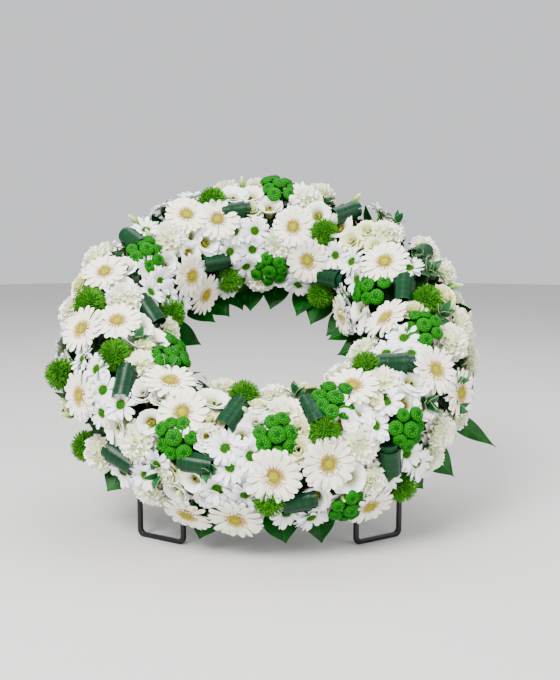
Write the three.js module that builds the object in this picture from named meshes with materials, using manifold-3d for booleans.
// A memorial wreath: a full ring of white and green cut flowers, stuck in a ring of wet floral
// foam that sits in a plastic tray and leans back on a low black metal stand.
// Millimetres, +Z up, the front of the wreath towards -Y, the origin under the middle of the part.

import * as THREE from "three";
import { mergeVertices } from "three/addons/utils/BufferGeometryUtils.js";
import Module from "manifold-3d";

const wasm = await Module();
wasm.setup();

// ---------------------------------------------------------------- driving dimensions

const RING_RADIUS = 213; // middle line of the foam ring
const DOME_RADIUS = 210; // middle line of the flower dome
const DOME_HALF_WIDTH = 84; // the dome, measured across the band
const DOME_RISE = 101; // from the dome's widest level up to its crest
const DOME_LEVEL = 35; // the dome's widest level, above the tray's underside
const LEAN_DEG = 41; // between the tray's underside and the ground
const CENTRE_HEIGHT = 221; // middle of the tray's underside, above the ground

const TRAY_OUTER = 254;
const TRAY_INNER = 172;
const TRAY_WALL_HEIGHT = 14;
const TRAY_SKIN = 2.4;
const FOAM_HEIGHT = 45;
const FOAM_BEVEL = 11;
const BASING_THICKNESS = 6; // foliage laid over the foam
const STEM_GRIP = 3; // how far a filler flower's stem runs into the basing foliage

const BAR = 6; // square bar of the stand
const BEND_RADIUS = 9; // outside of a foot's bends
const FOOT_FRONT = new THREE.Vector2(113, -176); // front upright of the right foot
const FOOT_BACK = new THREE.Vector2(174, -140); // back upright of the right foot
const STOP_TOP = 69; // height of the front upright, which stops the tray from sliding
const STOP_REACH = 235; // from the middle of the ring down the slope to the stops
const FRONT_RAIL_HEIGHT = 58;
const RAIL_X = 174; // cradle rails under the sides of the ring
const RAIL_LOW_END = -201; // along the slope, from the middle of the ring
const RAIL_HIGH_END = 190;
const BACK_RAIL_AT = 196;
const REAR_LEG_Y = 138;
const STAND_SHIFT = 5.5; // the wreath sits a little to the left on its stand

const FILLER_SECTORS = 10;
const GAP = 0.3; // clearance between neighbouring solids

// ---------------------------------------------------------------- solids

// A closed geometry as a solid that can be joined and cut.
function solid(geometry) {
  const loose = geometry.index ? geometry.toNonIndexed() : geometry;
  const bare = new THREE.BufferGeometry();
  bare.setAttribute("position", loose.getAttribute("position"));
  const merged = mergeVertices(bare, 1e-3);
  return new wasm.Manifold(
    new wasm.Mesh({
      numProp: 3,
      vertProperties: merged.attributes.position.array,
      triVerts: new Uint32Array(merged.index.array),
    }),
  );
}

// A solid back as a three.js geometry.
function geometryOf(body) {
  const mesh = body.getMesh();
  const position = new Float32Array(mesh.numVert * 3);
  for (let i = 0; i < mesh.numVert; i++) {
    const start = i * mesh.numProp;
    position.set(mesh.vertProperties.subarray(start, start + 3), i * 3);
  }
  const geometry = new THREE.BufferGeometry();
  geometry.setAttribute("position", new THREE.BufferAttribute(position, 3));
  geometry.setIndex(new THREE.BufferAttribute(new Uint32Array(mesh.triVerts), 1));
  return geometry;
}

function join(bodies) {
  return bodies.reduce((whole, body) => whole.add(body));
}

// A round body about +Z from a profile of [radius, height, notch] that starts and ends on the
// axis, lowest point first. A notch under 1 pulls in every second point of that ring, as the
// gaps between petals do.
function turned(profile, columns) {
  const points = profile.map(([radius, height]) => new THREE.Vector2(radius, height));
  const geometry = new THREE.LatheGeometry(points, columns);
  const position = geometry.getAttribute("position");
  for (let column = 1; column < columns; column += 2) {
    profile.forEach(([, , notch = 1], level) => {
      const i = column * profile.length + level;
      position.setX(i, position.getX(i) * notch);
      position.setZ(i, position.getZ(i) * notch);
    });
  }
  return geometry.rotateX(Math.PI / 2);
}

// A ring about +Z from a closed outline of [radius, height] corners, anticlockwise.
function ring(outline, columns = 30) {
  const closed = [...outline, outline[0]];
  const points = closed.map(([radius, height]) => new THREE.Vector2(radius, height));
  return solid(new THREE.LatheGeometry(points, columns).rotateX(Math.PI / 2));
}

// Everything on the side of a plane that its normal points away from, as far as a head reaches.
function behindPlane(point, normal) {
  const reach = 200;
  const geometry = new THREE.BoxGeometry(reach, reach, reach).translate(0, 0, -reach / 2);
  const turn = new THREE.Quaternion().setFromUnitVectors(new THREE.Vector3(0, 0, 1), normal);
  geometry.applyQuaternion(turn);
  return solid(geometry.translate(point.x, point.y, point.z));
}

// ---------------------------------------------------------------- places on the ring

const rad = THREE.MathUtils.degToRad;

// The middle line of the foam that a place on the dome looks down to. Stems from the crest aim
// low, so that they stay apart where they enter the foam.
function root(round, over) {
  const depth = 45 * Math.max(0, Math.sin(rad(over)));
  return new THREE.Vector3(
    RING_RADIUS * Math.cos(rad(round)),
    RING_RADIUS * Math.sin(rad(round)),
    DOME_LEVEL - depth,
  );
}

// A place on the flower dome. `round` runs in degrees round the ring, anticlockwise from the
// right-hand side; `over` runs across the band: 0 the outer edge, 90 the crest, 180 the inner
// edge. `lift` is the height above the dome.
function seat(round, over, lift = 0) {
  const out = Math.cos(rad(over));
  const up = Math.sin(rad(over));
  const slope = new THREE.Vector2(out * DOME_RISE, up * DOME_HALF_WIDTH).normalize();
  const radius = DOME_RADIUS + DOME_HALF_WIDTH * out + slope.x * lift;
  const height = DOME_LEVEL + DOME_RISE * up + slope.y * lift;
  const side = new THREE.Vector2(Math.cos(rad(round)), Math.sin(rad(round)));
  return {
    point: new THREE.Vector3(side.x * radius, side.y * radius, height),
    axis: new THREE.Vector3(side.x * slope.x, side.y * slope.x, slope.y),
    root: root(round, over),
    round,
    over,
  };
}

// A matrix that stands a piece at a seat, its +X turned to `heading` degrees from the right.
function standing(place, heading = 0) {
  const aim = new THREE.Vector3(Math.cos(rad(heading)), Math.sin(rad(heading)), 0);
  const y = place.axis.clone().cross(aim).normalize();
  const x = y.clone().cross(place.axis);
  return new THREE.Matrix4().makeBasis(x, y, place.axis).setPosition(place.point);
}

// ---------------------------------------------------------------- flower heads

// Each kind: its radius, how high it stands over the dome, and its outline about +Z from its
// lowest point up to the middle of its face.
const KINDS = {
  // Mini gerbera: a flat dish of petals round a raised eye.
  gerbera: { radius: 35, lift: 3, columns: 16, outline: [[0, -13], [35, 1, 0.86], [0, 6]] },
  // Daisy chrysanthemum: the same on a small scale.
  daisy: { radius: 23, lift: -2, columns: 8, outline: [[0, -9], [23, 2], [0, 5]] },
  // Lisianthus: a deep cup of rounded petals.
  lisianthus: { radius: 20, lift: 0, columns: 6, outline: [[0, -24], [20, 4], [0, -6]] },
  // Carnation: a frilled half ball on a tapering calyx.
  carnation: { radius: 25, lift: -2, columns: 7, outline: [[0, -26], [25, 1], [0, 15]] },
  // Spray rose: a low rounded bloom.
  rose: { radius: 18, lift: -3, columns: 6, outline: [[0, -20], [18, 0], [0, 12]] },
  // Green dianthus: a fuzzy ball.
  ball: { radius: 22, lift: -2, columns: 7, outline: [[0, -20], [22, 0], [13, 15], [0, 17]] },
  // Button chrysanthemums: a tight cushion of small heads.
  buttons: { radius: 28, lift: 2, columns: 12, outline: [[0, -18], [28, 0, 0.84], [0, 8]] },
  // Aspidistra leaf rolled into a loop, lying on its side.
  roll: { radius: 20, lift: -2 },
};

const ROLL_LENGTH = 42;
const ROLL_RADIUS = 14;

function rolledLeaf() {
  const outline = new THREE.Shape();
  outline.moveTo(0, -1.5 * ROLL_RADIUS);
  outline.lineTo(ROLL_RADIUS, -0.3 * ROLL_RADIUS);
  outline.absarc(0, 0, ROLL_RADIUS, 0, Math.PI);
  outline.lineTo(-ROLL_RADIUS, -0.3 * ROLL_RADIUS);
  outline.closePath();
  const settings = { depth: ROLL_LENGTH, bevelEnabled: false, curveSegments: 3 };
  const geometry = new THREE.ExtrudeGeometry(outline, settings);
  return geometry
    .translate(0, 0, -ROLL_LENGTH / 2)
    .rotateY(Math.PI / 2)
    .rotateX(Math.PI / 2);
}

// A head, ready to be trimmed: what it is, where it stands, and the node that it belongs to.
function head(node, kind, round, over, heading = 0) {
  const { radius, lift } = KINDS[kind];
  const place = seat(round, over, lift);
  return { node, kind, radius, heading, ...place };
}

// ---------------------------------------------------------------- the planting plan

// Mini gerberas, each its own node: [round, over].
const GERBERAS = [
  [126, 98], [114, 114], [143, 148], [137, 172], [196, 95], [194, 64], [170, 80], [212, 38],
  [233, 98], [244, 78], [75, 125], [62, 150], [21, 110], [347, 120], [23, 176], [329, 62],
  [332, 30], [303, 98], [272, 42], [286, 46], [263, 4], [251, -2], [296, -4],
];

// Green posies: heads and rolled leaves that touch, one node to each posy.
// [kind, round, over, heading of a rolled leaf].
const POSIES = [
  [["ball", 112, 90], ["roll", 104, 108, 10]],
  [["roll", 123, 150, 0], ["ball", 115, 172]],
  [["roll", 150, 84, 130], ["buttons", 154, 104]],
  [["ball", 173, 154], ["roll", 184, 128, 140]],
  [["ball", 210, 82], ["roll", 221, 74, 80]],
  [["buttons", 220, 123], ["buttons", 205, 150]],
  [["ball", 261, 118], ["roll", 259, 90, 60]],
  [["roll", 252, 44, 170], ["buttons", 245, 58]],
  [["roll", 55, 92, 30], ["ball", 59, 122]],
  [["roll", 43, 156, 0], ["ball", 49, 178]],
  [["buttons", 13, 132], ["roll", 3, 104, 80]],
  [["ball", 316, 112], ["roll", 323, 92, 0]],
  [["roll", 286, 90, 110], ["buttons", 294, 92], ["ball", 287, 69]],
  [["buttons", 310, 45], ["roll", 303, 30, 120]],
];

// Filler: the other flowers, by kind. Each head joins the basing foliage of its own sector.
const FILLERS = {
  daisy: [
    [107, 128], [96, 130], [112, 145], [98, 147], [103, 162], [162, 130], [160, 115], [172, 126],
    [165, 143], [159, 162], [203, 55], [210, 62], [217, 56], [225, 58], [221, 42], [242, 32],
    [239, 18], [259, 60], [266, 56], [261, 46], [267, 40], [258, 28], [265, 26], [47, 136],
    [36, 132], [26, 140], [31, 160], [326, 106], [336, 99], [330, 86], [302, 60], [309, 72],
    [308, 26], [302, 14], [275, 8], [281, -1], [118, 178], [67, 178], [76, 85], [14, 92],
    [143, 85], [232, 8], [311, 10], [17, 176], [312, -9],
  ],
  lisianthus: [
    [130, 117], [135, 131], [123, 130], [165, 94], [151, 126], [176, 96], [197, 116],
    [206, 106], [203, 127], [228, 78], [235, 84], [236, 60], [251, 102], [227, 40],
    [253, 66], [252, 30], [248, 16], [256, 18], [267, 86], [263, 72], [88, 105], [66, 106],
    [54, 110], [79, 172], [298, 72], [314, 62], [321, 70], [319, 52], [291, 30], [282, 19],
    [286, 8], [293, 70], [96, 90], [103, 86],
  ],
  carnation: [
    [138, 110], [180, 106], [185, 158], [218, 97], [234, 40], [240, 0], [94, 178], [83, 144],
    [36, 84], [276, 94], [314, 88], [296, 50], [297, 18], [345, 53], [274, 128], [322, 14],
    [73, 88], [318, -4],
  ],
  rose: [
    [211, 112], [252, 80], [245, 28], [96, 108], [44, 116], [42, 98], [280, 76], [279, 60],
    [352, 96], [267, 103], [305, 76], [33, 105], [2, 62],
  ],
  ball: [[183, 72], [217, -2], [197, 36], [357, 84], [271, 22], [306, -4]],
  buttons: [[342, 86], [273, 72], [290, 6], [87, 165], [85, 80]],
  roll: [[231, 20, 140], [21, 72, 50], [278, 18, 20]],
};

// The rest of the dome, mostly behind and inside, is planted in rows of these kinds in turn,
// wherever there is room left between the heads above.
const ROW_KINDS = [
  "carnation", "daisy", "lisianthus", "carnation", "daisy", "rose", "carnation", "ball",
];
const ROW_OVER = { from: -4, to: 164, step: 24 };
const ROW_SPACING = 52; // mm along a row
const ROOM = 0.86; // of the two radii, the least distance between two heads

const number = (i) => String(i + 1).padStart(2, "0");

function sectorOf(round) {
  const turn = ((round % 360) + 360) % 360;
  return Math.floor((turn / 360) * FILLER_SECTORS);
}

const fillerName = (round) => "filler_flowers_" + number(sectorOf(round));

const heads = [];
GERBERAS.forEach(([round, over], i) => {
  heads.push(head("gerbera_" + number(i), "gerbera", round, over));
});
POSIES.forEach((members, i) => {
  members.forEach(([kind, ...place]) => {
    heads.push(head("green_posy_" + number(i), kind, ...place));
  });
});
for (const [kind, places] of Object.entries(FILLERS)) {
  places.forEach((place) => heads.push(head(fillerName(place[0]), kind, ...place)));
}

function plantRows() {
  let turn = 0;
  for (let over = ROW_OVER.from; over <= ROW_OVER.to; over += ROW_OVER.step) {
    const radius = DOME_RADIUS + DOME_HALF_WIDTH * Math.cos(rad(over));
    const places = Math.round((2 * Math.PI * radius) / ROW_SPACING);
    for (let i = 0; i < places; i++) {
      const round = (360 * (i + 0.5)) / places;
      const kind = ROW_KINDS[turn % ROW_KINDS.length];
      const next = head(fillerName(round), kind, round, over);
      const free = heads.every(
        (h) => h.point.distanceTo(next.point) > ROOM * (h.radius + next.radius),
      );
      if (!free) continue;
      heads.push(next);
      turn += 1;
    }
  }
}
plantRows();

// ---------------------------------------------------------------- foam, tray, foliage

const foamInner = TRAY_INNER + TRAY_SKIN + GAP;
const foamOuter = TRAY_OUTER - TRAY_SKIN - GAP;
const foamBase = TRAY_SKIN + GAP;
const foamTop = foamBase + FOAM_HEIGHT;

function trayRing() {
  return ring([
    [TRAY_INNER, 0],
    [TRAY_OUTER, 0],
    [TRAY_OUTER, TRAY_WALL_HEIGHT],
    [TRAY_OUTER - TRAY_SKIN, TRAY_WALL_HEIGHT],
    [TRAY_OUTER - TRAY_SKIN, TRAY_SKIN],
    [TRAY_INNER + TRAY_SKIN, TRAY_SKIN],
    [TRAY_INNER + TRAY_SKIN, TRAY_WALL_HEIGHT],
    [TRAY_INNER, TRAY_WALL_HEIGHT],
  ]);
}

function foamRing() {
  return ring([
    [foamInner, foamBase],
    [foamOuter, foamBase],
    [foamOuter, foamTop - FOAM_BEVEL],
    [foamOuter - FOAM_BEVEL, foamTop],
    [foamInner + FOAM_BEVEL, foamTop],
    [foamInner, foamTop - FOAM_BEVEL],
  ]);
}

// Everything from the tray's underside up to `out` over the foam, as one filled ring.
function coreRing(out, bottom) {
  const ease = 0.4 * out;
  return ring([
    [foamInner - out, bottom],
    [foamOuter + out, bottom],
    [foamOuter + out, foamTop - FOAM_BEVEL + ease],
    [foamOuter - FOAM_BEVEL + ease, foamTop + out],
    [foamInner + FOAM_BEVEL - ease, foamTop + out],
    [foamInner - out, foamTop - FOAM_BEVEL + ease],
  ]);
}

// The foliage laid over the foam, down to the tray's walls.
function basingRing() {
  const bottom = TRAY_WALL_HEIGHT + GAP;
  return coreRing(BASING_THICKNESS, bottom).subtract(coreRing(GAP, bottom - 1));
}

// The wedge of space that belongs to one sector of the basing foliage.
function sectorSpace(sector) {
  const width = rad(360 / FILLER_SECTORS);
  const start = sector * width;
  const far = 2 * TRAY_OUTER;
  const wedge = new THREE.Shape();
  wedge.moveTo(0, 0);
  wedge.lineTo(far * Math.cos(start), far * Math.sin(start));
  wedge.lineTo(far * Math.cos(start + width), far * Math.sin(start + width));
  wedge.closePath();
  const prism = new THREE.ExtrudeGeometry(wedge, { depth: 100, bevelEnabled: false });
  const middle = start + width / 2;
  const shift = GAP / 2 / Math.sin(width / 2);
  prism.translate(shift * Math.cos(middle), shift * Math.sin(middle), 0);
  return solid(prism);
}

// Salal leaves stuck in round the foam's sides, overlapping at their stalks and joined there.
const COLLAR = {
  outer: { root: 261, tip: 305, leaves: 26, width: 56, slope: -20, level: 5.5 },
  inner: { root: 164, tip: 106, leaves: 20, width: 42, slope: -12, level: 6 },
};
const LEAF_SKIN = 2;
const COLLAR_BAND = 5; // stalks, across the ring
const LONG_LEAF = { round: 337, length: 92, width: 27 };

// A pointed leaf blade in the XY plane, its stalk at the origin and its tip along +X.
function bladeGeometry(length, width) {
  const blade = new THREE.Shape();
  blade.moveTo(0, -0.12 * width);
  blade.lineTo(0.45 * length, -0.5 * width);
  blade.lineTo(length, 0);
  blade.lineTo(0.45 * length, 0.5 * width);
  blade.lineTo(0, 0.12 * width);
  blade.closePath();
  const settings = { depth: LEAF_SKIN, bevelEnabled: false };
  return new THREE.ExtrudeGeometry(blade, settings).translate(0, 0, -LEAF_SKIN / 2);
}

function collarLeaf({ root: start, tip, slope, level }, round, length, width) {
  const inwards = tip < start;
  const geometry = bladeGeometry(length, width);
  geometry.rotateY(rad(-slope));
  if (inwards) geometry.rotateZ(Math.PI);
  geometry.translate(start, 0, level);
  return solid(geometry.rotateZ(rad(round)));
}

function collar(shape, skip = () => false) {
  const { root: start, tip, leaves, width, level } = shape;
  const band = ring([
    [start - COLLAR_BAND / 2, level - LEAF_SKIN],
    [start + COLLAR_BAND / 2, level - LEAF_SKIN],
    [start + COLLAR_BAND / 2, level + LEAF_SKIN],
    [start - COLLAR_BAND / 2, level + LEAF_SKIN],
  ]);
  const length = Math.abs(tip - start) / Math.cos(rad(shape.slope));
  const blades = [band];
  for (let i = 0; i < leaves; i++) {
    const round = (360 * (i + 0.5)) / leaves;
    if (!skip(round)) blades.push(collarLeaf(shape, round, length, width));
  }
  return join(blades);
}

// ---------------------------------------------------------------- trimming and joining heads

// Two heads of different nodes that press together part along a flat wall between them. The wall
// holds the line from the foam out to the middle between the heads, so that stems never cross it.
function wallBetween(one, other) {
  const between = other.point.clone().sub(one.point);
  const distance = between.length();
  const square = distance * distance;
  const share = (square + one.radius ** 2 - other.radius ** 2) / (2 * square);
  const middle = one.point.clone().addScaledVector(between, THREE.MathUtils.clamp(share, 0.3, 0.7));
  const foot = one.root.clone().add(other.root).multiplyScalar(0.5);
  const outward = middle.clone().sub(foot).normalize();
  const normal = between.addScaledVector(outward, -between.dot(outward)).normalize();
  return behindPlane(middle.addScaledVector(normal, -GAP / 2), normal);
}

const STEM_RADIUS = 2;
const NECK = 4; // depth of a head, under its seat, at which its stem begins

// A straight three-sided stem, from inside a head down to `foot`.
function stem(one, foot) {
  const top = one.point.clone().addScaledVector(one.axis, -NECK);
  const along = foot.clone().sub(top);
  const geometry = new THREE.CylinderGeometry(STEM_RADIUS, STEM_RADIUS, along.length(), 3);
  geometry.translate(0, along.length() / 2, 0);
  const turn = new THREE.Quaternion().setFromUnitVectors(
    new THREE.Vector3(0, 1, 0),
    along.normalize(),
  );
  geometry.applyQuaternion(turn);
  return solid(geometry.translate(top.x, top.y, top.z));
}

// A head with its own stem in one shape: the lowest two levels of the outline are gathered into
// the corners of a three-sided stem, and the lowest is carried down to `foot`.
function headOnStem(one, foot) {
  const { columns, outline } = KINDS[one.kind];
  const [, neckHeight] = outline[0];
  const stemLevels = [[0, neckHeight], [STEM_RADIUS, neckHeight], [STEM_RADIUS, neckHeight]];
  const profile = [...stemLevels, ...outline.slice(1)];
  const geometry = turned(profile, columns);
  const position = geometry.getAttribute("position");
  const corner = (column, level) => {
    const side = Math.floor((3 * (column % columns)) / columns);
    return Math.ceil((side * columns) / 3) * profile.length + level;
  };
  for (let column = columns; column >= 0; column--) {
    for (const level of [1, 2]) {
      const i = column * profile.length + level;
      const from = corner(column, level);
      position.setXYZ(i, position.getX(from), position.getY(from), position.getZ(from));
    }
  }
  geometry.applyMatrix4(standing(one, one.heading));
  const drop = foot.clone().sub(one.point.clone().addScaledVector(one.axis, neckHeight));
  for (let column = 0; column <= columns; column++) {
    for (const level of [0, 1]) {
      const i = column * profile.length + level;
      const moved = new THREE.Vector3().fromBufferAttribute(position, i).add(drop);
      position.setXYZ(i, ...moved);
    }
  }
  return solid(geometry);
}

// A body trimmed to its own place between the neighbours of its head.
function trimmed(body, one, neighbours) {
  let rest = body;
  for (const other of neighbours) {
    const near = one.radius + other.radius;
    if (other.point.distanceTo(one.point) < near) rest = rest.intersect(wallBetween(one, other));
  }
  return rest;
}

function looseHead(one) {
  const { columns, outline } = KINDS[one.kind];
  const geometry = one.kind === "roll" ? rolledLeaf() : turned(outline, columns);
  return solid(geometry.applyMatrix4(standing(one, one.heading)));
}

const basing = basingRing();
const coreSpace = coreRing(BASING_THICKNESS + GAP, -TRAY_OUTER);
const gripSpace = coreRing(BASING_THICKNESS - STEM_GRIP, -TRAY_OUTER);

// Single flowers: each is trimmed against all the others and has a stem of its own, which enters
// the foam at least EDGE_DEG inside its own sector.
const EDGE_DEG = 1;

function singleFlowers(members) {
  const bodies = members.map((one) => {
    const width = 360 / FILLER_SECTORS;
    const start = Math.floor(one.round / width) * width;
    const round = THREE.MathUtils.clamp(one.round, start + EDGE_DEG, start + width - EDGE_DEG);
    const foot = root(round, one.over);
    const others = heads.filter((other) => other !== one);
    if (one.kind === "roll") return trimmed(looseHead(one), one, others).add(stem(one, foot));
    return trimmed(headOnStem(one, foot), one, others);
  });
  return join(bodies);
}

// A posy: its heads may press into each other, and they branch from the first one's stem.
const FORK_DEPTH = 30;

function posy(members) {
  const [first] = members;
  const others = heads.filter((other) => other.node !== first.node);
  const down = first.root.clone().sub(first.point).normalize();
  const fork = first.point.clone().addScaledVector(down, FORK_DEPTH);
  const bodies = members.map((one) => {
    const foot = one === first ? one.root : fork;
    return trimmed(looseHead(one), one, others).add(stem(one, foot));
  });
  return join(bodies);
}

// ---------------------------------------------------------------- materials

const finish = (color, roughness, metalness = 0) =>
  new THREE.MeshStandardMaterial({ color, roughness, metalness });

const MATERIALS = {
  gerberaPetals: finish(0xf4eedb, 0.55),
  whitePetals: finish(0xf1f3ec, 0.6),
  greenHeads: finish(0x2f8f2a, 0.6),
  leaf: finish(0x1c5a2c, 0.4),
  foam: finish(0x2f5a35, 0.95),
  tray: finish(0x1f3d28, 0.5),
  blackMetal: finish(0x15161a, 0.35, 0.4),
};

function piece(name, body, material) {
  const mesh = new THREE.Mesh(geometryOf(body), material);
  mesh.name = name;
  return mesh;
}

// ---------------------------------------------------------------- the wreath

const wreath = new THREE.Group();
wreath.add(
  piece("wreath_tray", trayRing(), MATERIALS.tray),
  piece("foam_ring", foamRing(), MATERIALS.foam),
  piece("leaf_collar_inner", collar(COLLAR.inner), MATERIALS.leaf),
);

// The outer collar leaves room for the long leaf and for the stand's two stops.
const stops = [-1, 1].map((side) => {
  const x = STAND_SHIFT + side * FOOT_FRONT.x;
  return 360 + THREE.MathUtils.radToDeg(Math.atan2(-STOP_REACH, x));
});
const keptClear = [LONG_LEAF.round, ...stops];
const crowded = (round) => keptClear.some((clear) => Math.abs(round - clear) < 8);
wreath.add(piece("leaf_collar_outer", collar(COLLAR.outer, crowded), MATERIALS.leaf));

const longLeaf = collarLeaf(
  { ...COLLAR.outer, root: COLLAR.outer.root + COLLAR_BAND / 2 + GAP },
  LONG_LEAF.round,
  LONG_LEAF.length,
  LONG_LEAF.width,
);
wreath.add(piece("long_leaf", longLeaf, MATERIALS.leaf));

const membersOf = (node) => heads.filter((one) => one.node === node);

GERBERAS.forEach((_, i) => {
  const name = "gerbera_" + number(i);
  const body = singleFlowers(membersOf(name)).subtract(coreSpace);
  wreath.add(piece(name, body, MATERIALS.gerberaPetals));
});

POSIES.forEach((_, i) => {
  const name = "green_posy_" + number(i);
  const body = posy(membersOf(name)).subtract(coreSpace);
  wreath.add(piece(name, body, MATERIALS.greenHeads));
});

for (let sector = 0; sector < FILLER_SECTORS; sector++) {
  const name = "filler_flowers_" + number(sector);
  const own = sectorSpace(sector);
  const foliage = basing.intersect(own);
  const flowers = singleFlowers(membersOf(name))
    .subtract(gripSpace)
    .subtract(coreSpace.subtract(own));
  wreath.add(piece(name, flowers.add(foliage), MATERIALS.whitePetals));
}

wreath.rotation.x = rad(LEAN_DEG);
wreath.position.z = CENTRE_HEIGHT;

// ---------------------------------------------------------------- the stand

const stand = new THREE.Group();

// The space over the plane that the tray lies on, which every bar of the stand is cut away from.
function overSlope(clearance) {
  const size = 900;
  const geometry = new THREE.BoxGeometry(size, size, size);
  geometry.translate(0, 0, size / 2 - clearance);
  geometry.rotateX(rad(LEAN_DEG));
  return solid(geometry.translate(0, 0, CENTRE_HEIGHT));
}

const overRails = overSlope(GAP + BAR + GAP);

// A foot: one square bar bent into a U, its runner on the ground, splayed outwards to the back.
function foot(side) {
  const front = new THREE.Vector2(side * FOOT_FRONT.x, FOOT_FRONT.y);
  const back = new THREE.Vector2(side * FOOT_BACK.x, FOOT_BACK.y);
  const run = back.clone().sub(front);
  const length = run.length() + BAR;
  const backTop = 130;
  const inside = BEND_RADIUS - BAR / 2;
  const half = Math.PI / 2;
  const outline = new THREE.Shape();
  outline.moveTo(0, STOP_TOP);
  outline.lineTo(0, BEND_RADIUS);
  outline.absarc(BEND_RADIUS, BEND_RADIUS, BEND_RADIUS, Math.PI, 3 * half);
  outline.lineTo(length - BEND_RADIUS, 0);
  outline.absarc(length - BEND_RADIUS, BEND_RADIUS, BEND_RADIUS, 3 * half, 4 * half);
  outline.lineTo(length, backTop);
  outline.lineTo(length - BAR, backTop);
  outline.lineTo(length - BAR, BAR + inside);
  outline.absarc(length - BAR - inside, BAR + inside, inside, 0, -half, true);
  outline.lineTo(BAR + inside, BAR);
  outline.absarc(BAR + inside, BAR + inside, inside, 3 * half, Math.PI, true);
  outline.lineTo(BAR, STOP_TOP);
  outline.closePath();
  const settings = { depth: BAR, bevelEnabled: false, curveSegments: 4 };
  const geometry = new THREE.ExtrudeGeometry(outline, settings);
  geometry.translate(-BAR / 2, 0, -BAR / 2);
  geometry.rotateX(Math.PI / 2);
  geometry.rotateZ(run.angle());
  geometry.translate(front.x, front.y, 0);
  return solid(geometry);
}

// A straight square bar, from one end to the other along X, Y or Z.
function bar(name, size, at) {
  const geometry = new THREE.BoxGeometry(size.x, size.y, size.z);
  return piece(name, solid(geometry.translate(at.x, at.y, at.z)), MATERIALS.blackMetal);
}

for (const [name, side] of [["left", -1], ["right", 1]]) {
  const shape = foot(side).subtract(overRails);
  stand.add(piece("stand_foot_" + name, shape, MATERIALS.blackMetal));
}

const frontRail = (FOOT_FRONT.x - BAR) * 2 - 2 * GAP;
stand.add(
  bar(
    "stand_front_rail",
    new THREE.Vector3(frontRail, BAR, BAR),
    new THREE.Vector3(0, FOOT_FRONT.y, FRONT_RAIL_HEIGHT),
  ),
);

const legTop = CENTRE_HEIGHT + 150;
for (const [name, side] of [["left", -1], ["right", 1]]) {
  const geometry = new THREE.BoxGeometry(BAR, BAR, legTop);
  geometry.translate(side * RAIL_X, REAR_LEG_Y, legTop / 2);
  const leg = solid(geometry).subtract(overRails);
  stand.add(piece("stand_rear_leg_" + name, leg, MATERIALS.blackMetal));
}

// The rails lie against the tray, on the slope.
const slope = new THREE.Group();
const railLevel = -GAP - BAR / 2;
const railLength = RAIL_HIGH_END - RAIL_LOW_END;
for (const [name, side] of [["left", -1], ["right", 1]]) {
  slope.add(
    bar(
      "stand_cradle_rail_" + name,
      new THREE.Vector3(BAR, railLength, BAR),
      new THREE.Vector3(side * RAIL_X, (RAIL_HIGH_END + RAIL_LOW_END) / 2, railLevel),
    ),
  );
}
slope.add(
  bar(
    "stand_back_rail",
    new THREE.Vector3(2 * RAIL_X + BAR, BAR, BAR),
    new THREE.Vector3(0, BACK_RAIL_AT, railLevel),
  ),
);
slope.rotation.x = rad(LEAN_DEG);
slope.position.z = CENTRE_HEIGHT;
stand.add(slope);
stand.position.x = STAND_SHIFT;

// ---------------------------------------------------------------- the whole part

const part = new THREE.Group();
part.add(wreath, stand);
const extent = new THREE.Box3().setFromObject(part, true);
const centre = extent.getCenter(new THREE.Vector3());
part.position.set(-centre.x, -centre.y, -extent.min.z);

export default part;
